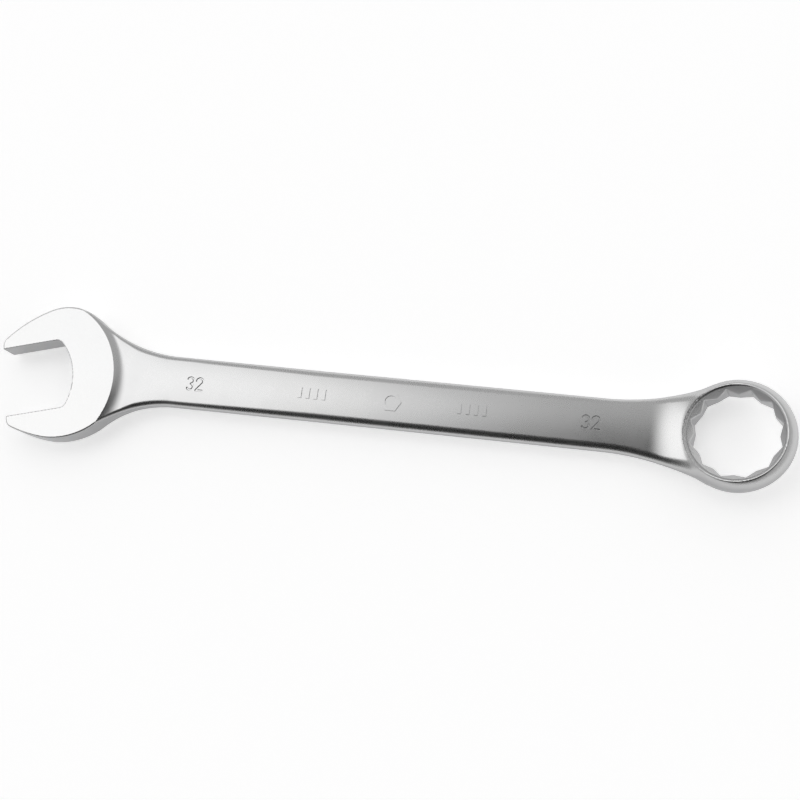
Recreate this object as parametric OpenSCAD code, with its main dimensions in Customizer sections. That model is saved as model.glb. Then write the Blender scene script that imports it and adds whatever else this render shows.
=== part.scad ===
// Combination wrench, 32 mm: a turned open end, a flat shank and a tilted twelve-point ring.
// One forging, drawn as the three regions that meet face to face.
// X runs from the open end to the ring, Y across and Z out of the faces.
// The origin is the nut's centre in the jaw.

/* [Size] */
// Width across flats of the nut that both ends take, in mm
flats = 32; // [30:1:34]
// Play between nut and wrench across the flats, in mm
play = 0.2; // [0.1:0.05:0.4]
// Distance from the nut's centre in the jaw to the middle of the ring, in mm
centres = 290; // [250:1:330]

/* [Open end] */
// Angle that the jaw is turned from the shank, in degrees
jaw_angle = 15; // [10:1:20]
// Thickness of the open end between its two ground faces, in mm
head_thick = 10.5; // [9.5:0.5:12]
// Distance from the nut's centre to the ends of the two jaws, in mm
jaw_reach = 35.6; // [33:0.2:37]
// Distance from the jaw's middle line to the +Y side of the head, in mm
jaw_wide = 31.6; // [31:0.2:33]
// Distance from the jaw's middle line to the -Y side of the head, in mm
jaw_wide_low = 30.2; // [29.8:0.2:32]
// Radius of the outer side of the jaw on the +Y side, in mm
jaw_round = 60; // [50:1:70]
// Radius of the outer side of the jaw on the -Y side, in mm
jaw_round_low = 64; // [50:1:70]
// Depth of the throat behind the nut's centre, in mm
throat = 2.7; // [0:0.1:4]

/* [Shank] */
// Width of the shank, in mm
shank_wide = 23.4; // [22:0.2:26]
// Thickness of the shank between its flat faces, in mm
shank_thick = 7.9; // [7:0.1:9]
// Radius of the shank's four long edges, in mm
edge_round = 3; // [2:0.1:3.4]

/* [Ring] */
// Largest diameter of the ring, in mm
ring_wide = 47.2; // [46:0.2:52]
// Height of the ring along its own axis, in mm
ring_high = 15; // [13:0.5:17]
// Angle that the ring is tilted from the shank, in degrees
ring_tilt = 15; // [10:1:18]
// Height of the ring's middle above the middle of the shank, in mm
ring_lift = 4.5; // [3:0.5:6]
// Diameter of the crest where the countersink meets the ring's domed side, in mm
crest_wide = 39.6; // [39:0.2:41]

/* [Marks] */
// Depth of the stamped size numbers, in mm
stamp_deep = 0.4; // [0.2:0.05:0.6]
// Height that the plain raised marks stand above the face, in mm
mark_high = 0.2; // [0.1:0.05:0.3]

/* [Hidden] */
$fn = 96;
steel = [0.78, 0.79, 0.8];
half_flats = (flats + play) / 2;
half_head = head_thick / 2;
half_shank = shank_thick / 2;
half_wide = shank_wide / 2;
neck_start = 46;
ring_neck = centres - 54;
// Plan radius of the neck's sides where they widen to the ring
neck_ring = 105;
// The raised head's back edge is an arc of this radius and centre, in the jaw's own frame
back_x = -20.4;
back_round = 37.3;
// The jaw's throat is an arc, with a rounded corner at each flat
throat_round = 30 - throat;
corner = 4;
corner_y = half_flats - corner;
corner_x = sqrt(pow(throat_round - corner, 2) - corner_y * corner_y) - 30;
// The head's two rounded shoulders in the jaw's own frame: centre x, radius, and turn to the jaw's outer arc
shoulder_up = [-6.6, 22.4, 12];
shoulder_low = [-9, 33, 20];
shoulders = [turned(shoulder_up, jaw_wide, jaw_angle), turned(shoulder_low, jaw_wide_low, -jaw_angle)];
// The hollow that runs from the head's face down to the shank's face
hollow_wide = 5.2;
hollow_drop = half_head - half_shank - 0.05;
// How far inside the head's own side the neck's solid ends
sunk = 0.2;
hollow_round = (hollow_wide * hollow_wide + hollow_drop * hollow_drop) / (2 * hollow_drop);
ring_half = ring_high / 2;
// The ring's side is an arc through the crest's rim and the widest point
rim = crest_wide / 2 + 0.6;
dome_in = ring_wide / 2 - rim;
dome = (dome_in * dome_in + ring_half * ring_half) / (2 * dome_in);
dome_at = ring_wide / 2 - dome;
tip = half_flats / cos(15);
groove = half_flats / cos(30);
sink = (crest_wide / 2 - tip + 0.4) * tan(58);
// Radii of the neck's two long hollows, above and below, where the shank rises to the ring
sweep_up = 38;
sweep_low = 24;

// Centre of the head's back arc, turned with the jaw
function back_centre() = [back_x * cos(jaw_angle), back_x * sin(jaw_angle)];

// One shoulder's centre and radius, turned with the jaw
function turned(s, wide, turn) =
    let(y = wide - s[1])
    [s[0] * cos(turn) - y * sin(turn), s[0] * sin(turn) + y * cos(turn), s[1]];

// Half width of the open end's neck. Its concave side runs into an arc just inside the shoulder's own
function side(x, s) =
    let(inner = s[2] - sunk, far = neck_start - s[0], over = half_wide - s[1])
    let(r = (far * far + over * over - inner * inner) / (2 * (inner - over)))
    x > s[0] + inner * far / (r + inner)
        ? half_wide + r - sqrt(r * r - pow(neck_start - x, 2))
        : s[1] + sqrt(inner * inner - pow(x - s[0], 2));

function ring_side(x) =
    x > ring_neck ? half_wide + neck_ring - sqrt(pow(neck_ring, 2) - pow(x - ring_neck, 2)) : half_wide;

// Height of the open end's neck: flat, then a hollow up to the head's face
function head_skin(x, y) =
    let(gap = norm([x, y] - back_centre()) - back_round, in = min(max(hollow_wide - gap, 0), hollow_wide))
    half_shank + hollow_round - sqrt(pow(hollow_round, 2) - in * in);

// Height of the ring's neck, above (+1) or below (-1): an arc from the shank's face to the ring's crest
function ring_skin(x, y, way, sweep) =
    let(at_x = (x - centres) / cos(ring_tilt) + way * ring_half * tan(ring_tilt))
    let(out = max(norm([at_x, y]), rim))
    let(crest = way * (ring_lift + rim * at_x / out * sin(ring_tilt)) + ring_half * cos(ring_tilt))
    let(rise = max(crest - half_shank - 0.5, 0.1), reach = 0.6 + sqrt(2 * sweep * rise - rise * rise))
    let(run = max(min(reach - out + rim, reach, sweep * 0.95), 0))
    half_shank + sweep - sqrt(sweep * sweep - run * run);

// One section across a neck, from the half widths on each side and the radius of its edges
turns = 4;
spread = 8;
function across(low, high, r) = concat(
    [for (i = [turns:-1:1]) [-low + r * (1 - sin(90 * i / turns)), r * (1 - cos(90 * i / turns))]],
    [for (i = [0:spread]) [-low + r + (high + low - 2 * r) * i / spread, 0]],
    [for (i = [1:turns]) [high - r * (1 - sin(90 * i / turns)), r * (1 - cos(90 * i / turns))]]
);

// A solid through sections that all have the same number of points
module through(sections) {
    n = len(sections[0]);
    last = len(sections) - 1;
    polyhedron(
        points = [for (s = sections) for (p = s) p],
        faces = concat(
            [[for (i = [0:n - 1]) i]],
            [[for (i = [n - 1:-1:0]) last * n + i]],
            [for (s = [0:last - 1]) for (i = [0:n - 1])
                let(a = s * n + i, b = s * n + (i + 1) % n) each [[a, a + n, b], [b, a + n, b + n]]]
        )
    );
}

// Points on an arc about a centre, from one angle to another
function arc(c, r, from, to, steps) =
    [for (i = [0:steps]) let(a = from + (to - from) * i / steps) c + r * [cos(a), sin(a)]];

// Angle about the first circle's centre at which two circles cross
function crossing(c, r, other, round) =
    let(d = other - c)
    atan2(d[1], d[0]) + acos((r * r + d * d - round * round) / (2 * r * norm(d)));

// One half of the head in the jaw's own frame, mouth toward -X: outer arc, shoulder arc and back arc
function jaw_half(wide, outer, s) =
    let(c = [s[0], wide - s[1]], far = c + (outer - s[1]) * [sin(s[2]), -cos(s[2])], back = [back_x, 0])
    let(last = crossing(back, back_round, c, s[1]), p = back + back_round * [cos(last), sin(last)] - c)
    let(meet = atan2(p[1], p[0]))
    concat(
        [[-jaw_reach, 0]],
        arc(far, outer, 180 - acos((jaw_reach + far[0]) / outer), 90 + s[2], 12),
        [for (i = [1:8]) let(a = 90 + s[2] + (meet - 90 - s[2]) * i / 8) c + s[1] * [cos(a), sin(a)]],
        [for (i = [1:10]) let(a = last * (1 - i / 10)) back + back_round * [cos(a), sin(a)]]
    );

module head_plan() {
    difference() {
        union() {
            polygon(jaw_half(jaw_wide, jaw_round, shoulder_up));
            mirror([0, 1]) polygon(jaw_half(jaw_wide_low, jaw_round_low, shoulder_low));
        }
        jaw_gap();
    }
}

// The gap: two parallel flats, rounded corners and a shallow curved throat
module jaw_gap() {
    turn = atan2(corner_y, corner_x + 30);
    polygon(concat(
        [[-60, half_flats], [-60, -half_flats]],
        arc([corner_x, -corner_y], corner, -90, -turn, 6),
        [for (i = [1:13]) throat_round * [cos(turn * (i / 7 - 1)), sin(turn * (i / 7 - 1))] - [30, 0]],
        arc([corner_x, corner_y], corner, turn, 90, 6)
    ));
}

module open_end_head() {
    color(steel)
    difference() {
        union() {
            rotate(jaw_angle)
            translate([0, 0, -half_head])
            linear_extrude(head_thick)
            head_plan();
            intersection() {
                through([for (i = [0:30])
                    let(x = neck_start - 1.8 * i, r = min(edge_round, 1.2 + max(x - 8, 0) * 0.06))
                    let(row = across(side(x, shoulders[1]), side(x, shoulders[0]), r)) concat(
                        [for (p = row) [x, p[0], head_skin(x, p[0]) - p[1]]],
                        [for (k = [len(row) - 1:-1:0]) let(p = row[k]) [x, p[0], p[1] - head_skin(x, p[0])]]
                    )]);
                translate([-20, -40, -20]) cube([neck_start + 20, 80, 40]);
            }
        }
        rotate(jaw_angle)
        translate([0, 0, -20])
        linear_extrude(40)
        jaw_gap();
    }
}

// Strokes of the size number: arcs and bars, standing upright along Y
module stroke_arc(r, from, to) {
    for (a = [from:15:to]) rotate(a) translate([r, 0]) circle(0.32, $fn = 12);
    for (a = [from:15:to - 15])
        rotate(a + 7.5) translate([r * cos(7.5), 0]) square([0.64, r * 0.27], center = true);
}

module size_number() {
    translate([-2.15, 1.4]) stroke_arc(1.4, -90, 150);
    translate([-2.15, -1.4]) stroke_arc(1.4, -150, 90);
    translate([2.15, 1.35]) stroke_arc(1.45, -30, 165);
    translate([0.4, -3.1]) square([3.5, 0.64]);
    translate([2.05, -1.02]) rotate(52) square([4.6, 0.64], center = true);
}

module shank_bar() {
    translate([neck_start, 0, 0])
    rotate([90, 0, 90])
    linear_extrude(ring_neck - neck_start)
    union() {
        square([shank_wide, shank_thick - 2 * edge_round], center = true);
        square([shank_wide - 2 * edge_round, shank_thick], center = true);
        for (y = [-1, 1]) for (z = [-1, 1])
            translate([y * (half_wide - edge_round), z * (half_shank - edge_round)]) circle(edge_round, $fn = 48);
    }
}

// A plain hexagon outline between two rows of short bars
module plain_marks() {
    translate([centres / 2, 0]) difference() {
        circle(4.6, $fn = 6);
        circle(2.6, $fn = 48);
    }
    for (way = [-1, 1]) for (i = [0:3])
        translate([centres / 2 + way * (30 + 3.6 * i), 0]) square([1.6, 4.6], center = true);
}

module shank() {
    color(steel)
    union() {
        difference() {
            shank_bar();
            for (at = [[55.7, -0.8], [centres - 59.4, -0.4]])
                translate([at[0], at[1], half_shank - stamp_deep]) linear_extrude(2) size_number();
        }
        translate([0, 0, half_shank - 0.5]) linear_extrude(0.5 + mark_high) plain_marks();
    }
}

module star() {
    polygon([for (i = [0:23]) (i % 2 == 0 ? tip : groove) * [cos(15 * i), sin(15 * i)]]);
}

module ring_end_head() {
    color(steel)
    difference() {
        union() {
            translate([centres, 0, ring_lift])
            rotate([0, -ring_tilt, 0])
            rotate_extrude($fn = 144)
            intersection() {
                translate([dome_at, 0]) circle(dome, $fn = 144);
                translate([tip - 2, -ring_half]) square([40, ring_high]);
            }
            intersection() {
                through([for (i = [28:-1:0])
                    let(x = ring_neck + 1.5 * i, r = edge_round + max(x - ring_neck - 26, 0) * 0.15)
                    let(row = across(ring_side(x), ring_side(x), r)) concat(
                        [for (p = row) [x, p[0], ring_skin(x, p[0], 1, sweep_up) - p[1]]],
                        [for (k = [len(row) - 1:-1:0])
                            let(p = row[k]) [x, p[0], p[1] - ring_skin(x, p[0], -1, sweep_low)]]
                    )]);
                translate([centres, 0, ring_lift]) rotate([0, -ring_tilt, 0]) translate([-60, -40, -ring_half])
                    cube([60, 80, 40]);
            }
        }
        translate([centres, 0, ring_lift])
        rotate([0, -ring_tilt, 0]) {
            translate([0, 0, -20]) linear_extrude(40) star();
            for (way = [0, 1]) mirror([0, 0, way]) {
                translate([0, 0, ring_half - sink]) cylinder(h = sink, r1 = tip - 0.4, r2 = crest_wide / 2);
                translate([0, 0, ring_half]) cylinder(h = 20, r = crest_wide / 2);
            }
        }
    }
}

open_end_head();
shank();
ring_end_head();
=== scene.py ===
"""Combination wrench, 32 mm, in satin chrome: the forging's three regions, meshed from one smooth solid."""
from math import cos, radians

import bpy
import numpy as np
from mathutils import Matrix, Vector


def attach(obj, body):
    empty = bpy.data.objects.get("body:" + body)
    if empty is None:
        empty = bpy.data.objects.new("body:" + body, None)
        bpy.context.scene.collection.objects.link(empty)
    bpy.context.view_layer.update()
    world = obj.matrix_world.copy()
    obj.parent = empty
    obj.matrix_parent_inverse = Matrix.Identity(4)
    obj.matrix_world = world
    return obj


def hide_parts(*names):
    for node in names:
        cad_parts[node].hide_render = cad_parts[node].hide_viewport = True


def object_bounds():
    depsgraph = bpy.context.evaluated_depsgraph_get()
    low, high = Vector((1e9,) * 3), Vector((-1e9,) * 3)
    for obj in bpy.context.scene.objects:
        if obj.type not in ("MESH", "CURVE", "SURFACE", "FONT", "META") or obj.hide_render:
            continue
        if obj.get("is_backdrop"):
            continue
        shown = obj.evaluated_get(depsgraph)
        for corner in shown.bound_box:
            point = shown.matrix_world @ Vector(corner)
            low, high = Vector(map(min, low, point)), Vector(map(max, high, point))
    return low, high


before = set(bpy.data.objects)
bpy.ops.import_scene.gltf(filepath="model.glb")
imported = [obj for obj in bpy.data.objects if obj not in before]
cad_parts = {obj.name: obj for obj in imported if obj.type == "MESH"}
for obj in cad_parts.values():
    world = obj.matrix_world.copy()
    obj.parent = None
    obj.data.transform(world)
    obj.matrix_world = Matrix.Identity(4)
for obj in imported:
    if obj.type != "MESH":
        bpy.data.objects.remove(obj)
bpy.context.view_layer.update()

# ---------------------------------------------------------------- sizes, in mm, the same as the CAD frame's
HALF_FLATS = 16.1
JAW_TURN = radians(15)
HALF_HEAD = 5.25
TIP_AT = -35.6
THROAT_X, THROAT_R, CORNER_R = -30.0, 27.3, 4.0
HALF_SHANK, HALF_WIDE = 3.95, 11.7
NECK_X, RING_NECK_X, RING_NECK_R = 46.0, 236.0, 105.0
FACE_X, FACE_R, HOLLOW = -20.4, 37.3, 5.0
CROWN_R, CROWN_SPAN = 110.0, 20.0
RING_X, RING_Z, RING_TILT = 290.0, 4.5, radians(15)
SINK = radians(58)
RING_HALF, RING_R, CREST_R, RIM_R = 7.5, 23.6, 19.8, 20.4
# the ring's own shape is worked out past NEAR_RING_X, and its outline takes over past RING_SIDE_X
NEAR_RING_X, RING_SIDE_X = 234.0, 262.0
# the body that runs into the ring stops at this x and at this radius from the ring's axis
BODY_END_X, BODY_INNER_R = 281.0, 21.0
# the neck's arc into the ring, above and below the middle: its radius, and how far short of the crest it ends
RAMP_UP, RAMP_LOW = (38.0, 0.1), (24.0, 0.8)
# edge radius: at the jaw, added over the neck, added along the shank, and added per mm toward the ring
EDGE_JAW, EDGE_NECK, EDGE_SHANK, EDGE_GROWS = 0.8, 1.8, 1.0, 0.15
TIP_ROUND, GAP_ROUND, CREST_ROUND = 1.8, 0.3, 0.9
# stamped numbers: half the stroke's width, how much the walls lean, the depth; and the raised marks' height
STROKE, STROKE_LEAN, STAMP_DEEP, MARK_HIGH = 0.48, 0.4, 0.55, 0.4
MM = 0.001
# the whole skin is drawn in by this much, which keeps the mesh inside the CAD's box
INSET = 0.03

# where the two size numbers are stamped
NUMBERS = ((55.7, -0.8), (230.6, -0.4))
# each side of the head, in the jaw's frame: the shoulder's centre along the jaw, the half width, the
# shoulder's radius, and the turn at which the jaw's flatter outer arc takes over, with that arc's radius
UPPER = (-6.6, 31.6, 22.4, radians(12), 60.0)
LOWER = (-9.0, 30.15, 33.0, radians(20), 64.0)


# ---------------------------------------------------------------- the solid, as a signed distance in mm
def round_meet(a, b, r):
    """Both solids' common part, its edge rounded to radius r."""
    a, b = a + r, b + r
    return np.minimum(np.maximum(a, b), 0) + np.hypot(np.maximum(a, 0), np.maximum(b, 0)) - r


def soft_max(a, b, k):
    """The larger of two distances, blended over k where they are close."""
    h = np.maximum(k - np.abs(a - b), 0) / k
    return np.maximum(a, b) + h * h * k / 4


def outline(x, y, side, way):
    """Signed distance to one side of the plan: jaw arc, shoulder, neck arc, shank, ring neck arc, ring."""
    along, wide, r, lean, outer = side
    c, s = np.cos(way * JAW_TURN), np.sin(way * JAW_TURN)
    sx, sy = along * c - (wide - r) * s, along * s + (wide - r) * c
    u, v = x * c + y * s - along, y * c - x * s - (wide - r)
    back = outer - r
    jaw = np.hypot(u - back * np.sin(lean), v + back * np.cos(lean)) - outer
    on_jaw = u * np.cos(lean) + v * np.sin(lean) < 0
    far, over = NECK_X - sx, HALF_WIDE - sy
    neck_r = (far * far + over * over - r * r) / (2 * (r - over))
    neck_y = HALF_WIDE + neck_r
    ball = np.hypot(x - sx, y - sy) - r
    neck = neck_r - np.hypot(x - NECK_X, y - neck_y)
    flat = y - HALF_WIDE
    ring_y = HALF_WIDE + RING_NECK_R
    ring_neck = RING_NECK_R - np.hypot(x - RING_NECK_X, y - ring_y)
    ring = np.hypot((x - RING_X) / np.cos(RING_TILT), y) - RING_R
    past_ball = (x - sx) * (neck_y - sy) - (y - sy) * (NECK_X - sx) > 0
    past_neck = (x - RING_NECK_X) * -ring_y - (y - ring_y) * (RING_X - RING_NECK_X) > 0
    d = np.where(on_jaw, jaw, ball)
    d = np.where(past_ball, neck, d)
    d = np.where(x > NECK_X, flat, d)
    d = np.where(x > RING_NECK_X, ring_neck, d)
    return np.where(~past_neck & (x > RING_SIDE_X), ring, d)


def ramp(x, y, way, base, sweep, short):
    """Skin of the neck above (1) or below (-1) the middle: an arc from the shank's face to the crest."""
    at_x = (x - RING_X) / np.cos(RING_TILT) + way * RING_HALF * np.tan(RING_TILT)
    r = np.maximum(np.hypot(at_x, y), RIM_R)
    crest = way * (RING_Z + RIM_R * at_x / r * np.sin(RING_TILT)) + RING_HALF * np.cos(RING_TILT)
    rise = np.clip(crest - base - short, 0.1, 12)
    reach = 0.6 + np.sqrt(np.maximum(2 * sweep * rise - rise * rise, 0))
    run = np.clip(reach - (r - RIM_R), 0, np.minimum(reach, sweep * 0.95))
    return base + sweep - np.sqrt(sweep * sweep - run * run)


def capsule(x, y, ax, ay, bx, by):
    """Distance to the straight stroke from (ax, ay) to (bx, by)."""
    t = np.clip(((x - ax) * (bx - ax) + (y - ay) * (by - ay)) / ((bx - ax) ** 2 + (by - ay) ** 2), 0, 1)
    return np.hypot(x - ax - t * (bx - ax), y - ay - t * (by - ay))


def bend(x, y, cx, cy, r, mid, half):
    """Distance to an arc of radius r about (cx, cy), centred on the angle mid."""
    m = radians(mid)
    p, q = (x - cx) * np.cos(m) + (y - cy) * np.sin(m), (y - cy) * np.cos(m) - (x - cx) * np.sin(m)
    q = np.abs(q)
    h = radians(half)
    ex, ey = r * np.cos(h), r * np.sin(h)
    inside = np.arctan2(q, p) < h
    return np.where(inside, np.abs(np.hypot(p, q) - r), np.hypot(p - ex, q - ey))


def size_number(x, y):
    """Distance to the middle of the strokes of the size number, 32."""
    d = bend(x, y, -2.15, 1.4, 1.4, 35, 115)
    d = np.minimum(d, bend(x, y, -2.15, -1.4, 1.4, -35, 115))
    d = np.minimum(d, bend(x, y, 2.15, 1.35, 1.45, 75, 100))
    d = np.minimum(d, capsule(x, y, 3.47, 0.74, 0.75, -2.75))
    return np.minimum(d, capsule(x, y, 0.75, -2.8, 3.65, -2.8))


def plain_marks(x, y):
    """Signed distance to the plain raised marks: a hexagon round a hole between two rows of bars."""
    x = x - RING_X / 2
    a = np.abs(np.arctan2(y, x)) % radians(60) - radians(30)
    hexagon = np.hypot(x, y) * np.cos(a) - 4.0
    d = np.maximum(hexagon, 2.6 - np.hypot(x, y))
    i = np.clip(np.round((np.abs(x) - 30) / 3.6), 0, 3)
    return np.minimum(d, np.maximum(np.abs(np.abs(x) - 30 - 3.6 * i) - 0.8, np.abs(y) - 2.3))


def solid(x, y, z):
    """The whole wrench."""
    plan = np.maximum(outline(x, y, UPPER, 1), outline(x, -y, LOWER, -1))
    c, s = np.cos(JAW_TURN), np.sin(JAW_TURN)
    u, v = x * c + y * s, y * c - x * s
    tip = TIP_AT - u
    plan = round_meet(plan, tip, TIP_ROUND)
    # the skin's height over the plan: ground head, hollow, crowned shank, and the ring's neck
    gap = np.hypot(u - FACE_X, v) - FACE_R
    drop = HALF_HEAD - HALF_SHANK
    wide = HOLLOW - 0.1 * np.clip(v, -30, 14)
    hollow_r = (wide ** 2 + drop * drop) / (2 * drop)
    inn = np.clip(wide - gap, 0, wide)
    crown = CROWN_R - np.sqrt(CROWN_R ** 2 - np.minimum(y * y, CROWN_SPAN ** 2))
    crown = crown * np.clip((gap - wide) / CROWN_SPAN, 0, 1)
    base = HALF_SHANK - crown
    half = base + hollow_r - np.sqrt(hollow_r ** 2 - inn * inn)
    near_ring = x > NEAR_RING_X
    top = np.where(near_ring, ramp(x, y, 1, base, *RAMP_UP), half)
    low = np.where(near_ring, -ramp(x, y, -1, base, *RAMP_LOW), -half)
    edge = EDGE_JAW + EDGE_NECK * np.clip(gap / 12, 0, 1) + EDGE_SHANK * np.clip((x - 50) / 60, 0, 1)
    edge = edge + EDGE_GROWS * np.clip(x - RING_SIDE_X, 0, 17)
    d = round_meet(plan, np.maximum(z - top, low - z), edge)
    # the tilted ring
    ct, st = np.cos(RING_TILT), np.sin(RING_TILT)
    rx, rz = (x - RING_X) * ct + (z - RING_Z) * st, (z - RING_Z) * ct - (x - RING_X) * st
    out = np.hypot(rx, y)
    dome_in = RING_R - RIM_R
    dome = (dome_in ** 2 + RING_HALF ** 2) / (2 * dome_in)
    ring = round_meet(np.hypot(out - RING_R + dome, rz) - dome, np.abs(rz) - RING_HALF, 0.5)
    body = round_meet(d + 0.3 * np.clip((x - 266) / 12, 0, 1), x - BODY_END_X, 2.0)
    body = np.maximum(body, BODY_INNER_R - out)
    d = np.where(near_ring, -soft_max(-ring, -body, 1.2), d)
    # twelve-point hole and its steep countersinks
    a = np.abs((np.arctan2(y, rx) + radians(15)) % radians(30) - radians(15))
    tip_r, groove_r = HALF_FLATS / np.cos(radians(15)), HALF_FLATS / np.cos(radians(30))
    px, py = out * np.cos(a), np.sqrt((out * np.sin(a)) ** 2 + 0.12)
    gx, gy = groove_r * np.cos(radians(15)), groove_r * np.sin(radians(15))
    run = np.hypot(gx - tip_r, gy)
    star = (px - tip_r) * gy / run - py * (gx - tip_r) / run
    sink = (out - CREST_R) * np.sin(SINK) + (RING_HALF - np.abs(rz)) * np.cos(SINK)
    hole = -round_meet(-star, -sink, 0.3)
    d = np.where(near_ring, round_meet(d, -hole, CREST_ROUND), d)
    # the jaw's gap
    low_y = HALF_FLATS - CORNER_R
    corner_x = np.sqrt((THROAT_R - CORNER_R) ** 2 - low_y ** 2) + THROAT_X
    w = np.abs(v)
    gap_d = np.where(u < corner_x, w - HALF_FLATS, np.hypot(u - corner_x, w - low_y) - CORNER_R)
    in_throat = np.arctan2(w, u - THROAT_X) < np.arctan2(low_y, corner_x - THROAT_X)
    gap_d = np.where((u > THROAT_X) & in_throat, np.hypot(u - THROAT_X, v) - THROAT_R, gap_d)
    d = np.where(x < 20, round_meet(d, -gap_d, GAP_ROUND), d)
    # stamped size numbers and plain raised marks
    for at, over in NUMBERS:
        cut = size_number(x - at, y - over) - STROKE + np.clip(top - z, 0, 1) * STROKE_LEAN
        stamped = round_meet(d, -np.maximum(cut, top - STAMP_DEEP - z), 0.05)
        d = np.where((np.abs(x - at) < 6) & (z > 0), stamped, d)
    raised = np.maximum(plain_marks(x, y), np.maximum(z - top - MARK_HIGH, 3 - z))
    d = np.where(np.abs(x - RING_X / 2) < 45, np.minimum(d, raised), d)
    return d + INSET


def slope(x, y, z, step=0.01):
    """Outward direction of the solid's skin."""
    g = np.stack([
        solid(x + step, y, z) - solid(x - step, y, z),
        solid(x, y + step, z) - solid(x, y - step, z),
        solid(x, y, z + step) - solid(x, y, z - step),
    ], 1) / (2 * step)
    return g / np.maximum(np.linalg.norm(g, axis=1, keepdims=True), 1e-9)


# ---------------------------------------------------------------- dual contouring on a stretched grid
def ticks(*spans):
    """Grid lines from (start, end, step) spans laid end to end."""
    lines = [np.linspace(a, b, max(1, round((b - a) / s)), endpoint=False) for a, b, s in spans]
    return np.concatenate(lines + [[spans[-1][1]]])


def contour(xs, ys, zs, field):
    """Points, quads and a sharpness flag per point, of the field's zero surface."""
    grid = np.meshgrid(xs, ys, zs, indexing="ij")
    values = field(*(g.ravel() for g in grid)).reshape(grid[0].shape)
    shape = np.array(values.shape) - 1
    normals_sum = np.zeros((shape.prod(), 3))
    ata = np.zeros((shape.prod(), 3, 3))
    atb = np.zeros((shape.prod(), 3))
    mass = np.zeros((shape.prod(), 3))
    count = np.zeros(shape.prod())
    quads = []
    axes = (xs, ys, zs)
    for k in range(3):
        lo = [slice(None)] * 3
        hi = [slice(None)] * 3
        lo[k], hi[k] = slice(0, -1), slice(1, None)
        a, b = values[tuple(lo)], values[tuple(hi)]
        where = np.argwhere((a < 0) != (b < 0))
        others = [m for m in range(3) if m != k]
        keep = np.all([(where[:, m] > 0) & (where[:, m] < shape[m]) for m in others], axis=0)
        where = where[keep]
        start = np.stack([axes[m][where[:, m]] for m in range(3)], 1)
        end = start.copy()
        end[:, k] = axes[k][where[:, k] + 1]
        va, vb = a[tuple(where.T)], b[tuple(where.T)]
        inside_first = va < 0
        p0, p1, f0, f1 = start, end, va, vb
        for _ in range(5):
            t = np.clip(f0 / (f0 - f1), 0.05, 0.95)[:, None]
            mid = p0 + (p1 - p0) * t
            fm = field(*mid.T)
            first = (fm < 0) == (f0 < 0)
            p0, f0 = np.where(first[:, None], mid, p0), np.where(first, fm, f0)
            p1, f1 = np.where(first[:, None], p1, mid), np.where(first, f1, fm)
        cross = p0 + (p1 - p0) * (f0 / (f0 - f1))[:, None]
        step = 0.004
        n = np.stack([field(*(cross + step * e).T) - field(*(cross - step * e).T) for e in np.eye(3)], 1)
        n /= np.maximum(np.linalg.norm(n, axis=1, keepdims=True), 1e-9)
        cells = []
        for da, db in ((0, 0), (1, 0), (1, 1), (0, 1)):
            cell = where.copy()
            cell[:, others[0]] -= da
            cell[:, others[1]] -= db
            index = np.ravel_multi_index(cell.T, shape)
            cells.append(index)
            np.add.at(ata, index, n[:, :, None] * n[:, None, :])
            np.add.at(atb, index, n * np.sum(n * cross, 1, keepdims=True))
            np.add.at(mass, index, cross)
            np.add.at(normals_sum, index, n)
            np.add.at(count, index, 1)
        quad = np.stack(cells, 1)
        turn = inside_first if k != 1 else ~inside_first
        quad[~turn] = quad[~turn][:, ::-1]
        quads.append(quad)
    quads = np.concatenate(quads)
    used, flat = np.unique(quads, return_inverse=True)
    quads = flat.reshape(quads.shape)
    m = mass[used] / count[used][:, None]
    pull = 0.03
    lhs = ata[used] + pull * np.eye(3)
    rhs = atb[used] + pull * m
    points = np.linalg.solve(lhs, rhs[:, :, None])[:, :, 0]
    cell = np.stack(np.unravel_index(used, shape), 1)
    low = np.stack([axes[i][cell[:, i]] for i in range(3)], 1)
    high = np.stack([axes[i][cell[:, i] + 1] for i in range(3)], 1)
    slack = 0.1 * (high - low)
    points = np.clip(points, low - slack, high + slack)
    sharp = np.linalg.norm(normals_sum[used], axis=1) / count[used] < 0.985
    return points, quads, sharp


def region(name, xs, low_x, high_x, node):
    """One region's closed mesh, cut square from the whole solid at its two planes."""
    def field(x, y, z):
        return np.maximum(solid(x, y, z), np.maximum(low_x - x, x - high_x))

    zs = Z_TICKS[(Z_TICKS > SPAN_Z[name][0]) & (Z_TICKS < SPAN_Z[name][1])]
    ys = Y_TICKS[(Y_TICKS > -SPAN_Y[name]) & (Y_TICKS < SPAN_Y[name])]
    points, quads, sharp = contour(xs, ys, zs, field)
    smooth = ~sharp
    p = points[smooth]
    for _ in range(3):
        f = field(*p.T)
        p = p - slope(*p.T) * np.clip(f, -0.1, 0.1)[:, None]
    points[smooth] = p
    mesh = bpy.data.meshes.new(name)
    mesh.from_pydata((points * MM).tolist(), [], quads.tolist())
    mesh.validate()
    # shading normals straight from the solid, one per corner where an edge is sharp
    corners = np.empty(len(mesh.loops), int)
    mesh.loops.foreach_get("vertex_index", corners)
    at = points[corners].copy()
    starts = np.empty(len(mesh.polygons), int)
    totals = np.empty(len(mesh.polygons), int)
    mesh.polygons.foreach_get("loop_start", starts)
    mesh.polygons.foreach_get("loop_total", totals)
    face_of = np.repeat(np.arange(len(starts)), totals)
    centre = np.zeros((len(starts), 3))
    np.add.at(centre, face_of, at)
    centre /= totals[:, None]
    edge = sharp[corners]
    at[edge] += 0.4 * (centre[face_of[edge]] - at[edge])
    normals = slope(*at.T)
    mesh.polygons.foreach_set("use_smooth", np.ones(len(starts), bool))
    mesh.normals_split_custom_set(normals.tolist())
    obj = bpy.data.objects.new(name, mesh)
    bpy.context.scene.collection.objects.link(obj)
    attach(obj, "root")
    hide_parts(node)
    return obj


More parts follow.
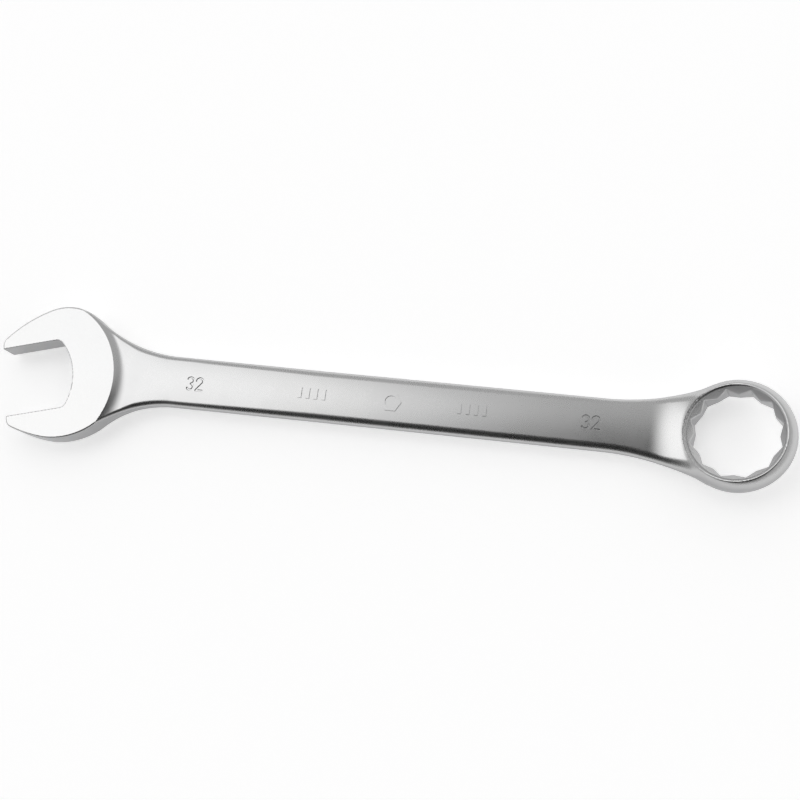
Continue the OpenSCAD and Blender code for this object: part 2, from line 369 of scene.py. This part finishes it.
# grid lines in mm: finer across the stamped numbers, the raised marks and the two ends
QUICK = 1.0
FINE = 0.42 * QUICK
Y_TICKS = ticks((-34, -4.6, FINE), (-4.6, 3.8, 0.24 * QUICK), (3.8, 34, FINE))
Z_TICKS = ticks((-11, 3.3, FINE), (3.3, 4.5, 0.15), (4.5, 18, FINE))
# how far the grid reaches for each region
SPAN_Z = {"wrench_open_end": (-6.2, 6.2), "wrench_shank": (-5, 5), "wrench_ring_end": (-11, 18)}
SPAN_Y = {"wrench_open_end": 34, "wrench_shank": 13.5, "wrench_ring_end": 25.5}
head_xs = ticks((-40, 24, FINE), (24, 45.8, 0.55 * QUICK), (45.8, 46.2, 0.4), (46.2, 47, 0.8))
shank_xs = ticks((45, 45.8, 0.8), (45.8, 46.2, 0.4), (46.2, 51, 0.8), (51, 60.6, 0.24 * QUICK),
                 (60.6, 103.6, 1.2), (103.6, 116.8, 0.3 * QUICK), (116.8, 139.6, 1.2),
                 (139.6, 150.4, 0.3 * QUICK), (150.4, 173.6, 1.2), (173.6, 187, 0.3 * QUICK),
                 (187, 226, 1.2), (226, 235.4, 0.24 * QUICK), (235.4, 235.8, 0.4),
                 (235.8, 236.2, 0.4), (236.2, 237, 0.8))
ring_xs = ticks((235, 235.8, 0.8), (235.8, 236.2, 0.4), (236.2, 258, 0.6 * QUICK), (258, 316, FINE))
open_end = region("wrench_open_end", head_xs, -60, NECK_X, "open_end_head")
shank = region("wrench_shank", shank_xs, NECK_X, RING_NECK_X, "shank")
ring_end = region("wrench_ring_end", ring_xs, RING_NECK_X, 400, "ring_end_head")


# ---------------------------------------------------------------- materials
class Nodes:
    """Adds shader nodes with their settings, constants and links in one call."""
    def __init__(self, tree):
        self.tree = tree
        tree.nodes.clear()

    def add(self, kind, inputs=None, **settings):
        node = self.tree.nodes.new(kind)
        for key, value in settings.items():
            setattr(node, key, value)
        for key, value in (inputs or {}).items():
            if isinstance(value, bpy.types.NodeSocket):
                self.tree.links.new(value, node.inputs[key])
            else:
                node.inputs[key].default_value = value
        return node

    def math(self, operation, a, b=0.5):
        return self.add("ShaderNodeMath", {0: a, 1: b}, operation=operation).outputs[0]

    def noise(self, where, scale, detail, rough):
        inputs = {"Vector": where, "Scale": scale, "Detail": detail, "Roughness": rough}
        return self.add("ShaderNodeTexNoise", inputs)

    def ramp(self, value, stops):
        node = self.add("ShaderNodeValToRGB", {"Fac": value})
        while len(node.color_ramp.elements) < len(stops):
            node.color_ramp.elements.new(0.5)
        for element, (at, level) in zip(node.color_ramp.elements, stops):
            element.position = at
            element.color = (level, level, level, 1)
        return node.outputs["Color"]


def satin_chrome():
    """Chrome over a blasted forging: fine matt grain, faint blotches, rougher flanks with painted shade,
    smoother jaw faces.
    """
    material = bpy.data.materials.new("satin_chrome")
    material.use_nodes = True
    n = Nodes(material.node_tree)
    where = n.add("ShaderNodeTexCoord").outputs["Object"]
    grain = n.noise(where, 2400, 3, 0.6).outputs["Fac"]
    pits = n.noise(where, 700, 2, 0.5).outputs["Fac"]
    cloud = n.noise(where, 60, 3, 0.6).outputs["Fac"]
    broad = n.noise(where, 14, 2, 0.5).outputs["Fac"]
    # the open end's two faces are ground after forging: fine lines across the jaw, and a little more shine
    place = n.add("ShaderNodeSeparateXYZ", {0: where}).outputs
    high = n.math("GREATER_THAN", n.math("ABSOLUTE", place["Z"]), (HALF_HEAD - 0.15) * MM)
    ground = n.math("MULTIPLY", high, n.math("LESS_THAN", place["X"], 0.03))
    across = n.add("ShaderNodeMapping", {"Vector": where, "Rotation": (0, 0, -JAW_TURN),
                                         "Scale": (1500, 40, 40)})
    lines = n.noise(across.outputs[0], 1.0, 2, 0.6).outputs["Fac"]
    # tiny scratches and rub marks from use
    scratch = n.add("ShaderNodeMapping", {"Vector": where, "Rotation": (0, 0, radians(28)),
                                          "Scale": (160, 2600, 900)})
    marks = n.noise(scratch.outputs[0], 1.0, 3, 0.7).outputs["Fac"]
    rubbed = n.ramp(marks, ((0.66, 0.0), (0.74, 1.0)))
    rough = n.math("ADD", n.math("MULTIPLY", grain, 0.10), n.math("MULTIPLY", cloud, 0.10))
    rough = n.math("ADD", rough, n.math("MULTIPLY", rubbed, 0.05))
    rough = n.math("ADD", rough, n.math("MULTIPLY", ground, -0.05))
    rough = n.math("ADD", rough, 0.18)
    # the flanks are rougher than the faces, and their base colour is pulled towards a dark grey as painted
    # shade on the sideways-facing skin
    facing = n.add("ShaderNodeSeparateXYZ", {0: n.add("ShaderNodeTexCoord").outputs["Normal"]}).outputs["Z"]
    facing = n.math("ABSOLUTE", facing)
    flank_shade_and_dull = n.add("ShaderNodeMapRange", {"Value": facing, "From Min": 0.65, "From Max": 0.2},
                  interpolation_type="SMOOTHSTEP").outputs["Result"]
    rough = n.math("ADD", rough, n.math("MULTIPLY", flank_shade_and_dull, 0.06))
    tone = n.ramp(cloud, ((0.3, 0.535), (0.7, 0.57)))
    tint = n.add("ShaderNodeMix", {"Factor": broad, 6: (0.555, 0.56, 0.57, 1), 7: (0.58, 0.575, 0.565, 1)},
                 data_type="RGBA").outputs[2]
    colour = n.add("ShaderNodeMix", {"Factor": 0.5, 6: tint, 7: tone}, data_type="RGBA").outputs[2]
    # painted shade: sideways-facing skin gets a darker colour than the faces
    colour = n.add("ShaderNodeMix", {"Factor": flank_shade_and_dull, 6: colour, 7: (0.385, 0.385, 0.39, 1)},
                   data_type="RGBA").outputs[2]
    blasted = n.math("ADD", n.math("MULTIPLY", pits, 0.3), grain)
    lines = n.math("MULTIPLY", lines, 0.15)
    height = n.add("ShaderNodeMix", {"Factor": ground, 2: blasted, 3: lines}).outputs[0]
    bump = n.add("ShaderNodeBump", {"Strength": 0.05, "Distance": 0.00004, "Height": height})
    shader = n.add("ShaderNodeBsdfPrincipled", {
        "Base Color": colour, "Metallic": 1.0, "Roughness": rough, "Normal": bump.outputs["Normal"],
    })
    n.add("ShaderNodeOutputMaterial", {"Surface": shader.outputs["BSDF"]})
    return material


metal = satin_chrome()
for piece in (open_end, shank, ring_end):
    piece.data.materials.append(metal)

# ---------------------------------------------------------------- floor, light and camera
low_z = min(p[2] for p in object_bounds())
floor_mesh = bpy.data.meshes.new("floor")
floor_mesh.from_pydata([(-3, -3, low_z), (3, -3, low_z), (3, 3, low_z), (-3, 3, low_z)], [], [(0, 1, 2, 3)])
floor = bpy.data.objects.new("floor", floor_mesh)
bpy.context.scene.collection.objects.link(floor)
floor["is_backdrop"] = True
paper = bpy.data.materials.new("floor")
paper.use_nodes = True
sheet = paper.node_tree.nodes["Principled BSDF"].inputs
sheet["Base Color"].default_value = (0.9, 0.9, 0.9, 1)
sheet["Roughness"].default_value = 0.9
sheet["Emission Color"].default_value = (1, 1, 1, 1)
sheet["Emission Strength"].default_value = 0.5
floor_mesh.materials.append(paper)


class Sky:
    """Light from far away, as soft-edged patches of sky added to an even grey."""
    def __init__(self, level):
        world = bpy.data.worlds.new("studio")
        world.use_nodes = True
        bpy.context.scene.world = world
        self.n = Nodes(world.node_tree)
        self.where = self.n.add("ShaderNodeTexCoord").outputs["Generated"]
        self.total = level

    def patch(self, toward, level, inner, outer):
        """A patch of sky centred on a direction, full inside one angle and gone past the other."""
        toward = Vector(toward).normalized()
        dot = self.n.add("ShaderNodeVectorMath", {0: self.where, 1: toward}, operation="DOT_PRODUCT")
        dot = dot.outputs["Value"]
        ease = self.n.add("ShaderNodeMapRange", {"Value": dot, "From Min": cos(radians(outer)),
                                                 "From Max": cos(radians(inner)), "To Max": level},
                          interpolation_type="SMOOTHSTEP").outputs["Result"]
        self.total = self.n.math("ADD", ease, self.total)

    def done(self):
        shade = self.n.math("MAXIMUM", self.total, 0.02)
        background = self.n.add("ShaderNodeBackground", {"Color": shade, "Strength": 1.0})
        self.n.add("ShaderNodeOutputWorld", {"Surface": background.outputs["Background"]})


sky = Sky(0.6)
sky.patch((-0.45, 0.1, 0.88), 1.2, 13, 28)
sky.patch((0.0, -0.75, 0.65), -0.6, 20, 50)
sky.patch((0.1, -0.2, 0.97), -0.75, 9, 32)
sky.done()
bpy.context.scene.view_settings.view_transform = "Standard"

# the camera: distance in metres along its axis, turns about Z, Y and X, and the offset that frames the tool
REACH, OFFSET = 0.48355, Vector((-0.14572, 0.01242, 0))
turn = (Matrix.Rotation(radians(-5.666), 3, "Z") @ Matrix.Rotation(radians(-9.471), 3, "Y")
        @ Matrix.Rotation(radians(-13.031), 3, "X"))
camera_data = bpy.data.cameras.new("camera")
camera_data.sensor_width = 36
camera_data.lens = 47.3517
camera_data.clip_start = 0.01
camera = bpy.data.objects.new("camera", camera_data)
back_turn = turn.transposed()
camera.matrix_world = Matrix.Translation(back_turn @ (Vector((0, 0, REACH)) - OFFSET)) @ back_turn.to_4x4()
bpy.context.scene.collection.objects.link(camera)
bpy.context.scene.camera = camera
